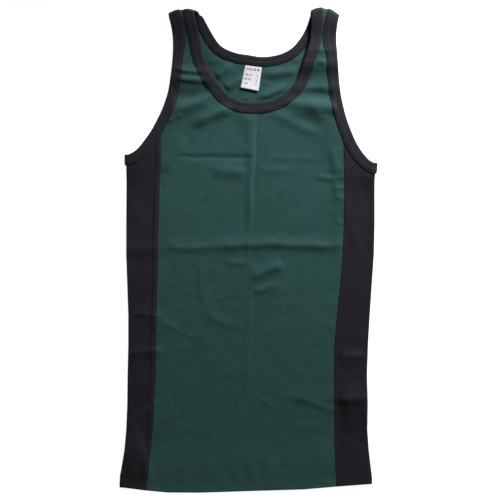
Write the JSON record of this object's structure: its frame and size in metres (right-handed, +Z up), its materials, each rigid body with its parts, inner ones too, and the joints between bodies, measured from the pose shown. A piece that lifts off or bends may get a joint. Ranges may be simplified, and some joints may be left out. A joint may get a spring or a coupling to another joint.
{
  "type": "tank top",
  "caption": "Sleeveless knitted tank top laid flat: two green panels, wide black side panels, black neck and armhole bindings, turned-up hem and a blank neck label.",
  "frame": {"origin": "middle of the garment's footprint, at the surface it lies on", "axes": "+Y towards the shoulders, +X to the picture's right, +Z up out of the surface, with the garment's front facing up"},
  "size_m": [0.374, 0.7039, 0.0077],
  "materials": {
    "green_jersey": "dark green fine cotton rib jersey with a soft sheen",
    "black_rib": "black fine cotton rib, matt",
    "black_binding": "black cotton rib binding with twin-needle stitching, matt",
    "label_tape": "white satin tape"
  },
  "bodies": {
    "root": {"front_panel": "green_jersey", "back_panel": "green_jersey", "side_panel_left": "black_rib", "side_panel_right": "black_rib", "neck_binding": "black_binding", "armhole_binding_left": "black_binding", "armhole_binding_right": "black_binding", "label": "label_tape"}
  },
  "joints": []
}
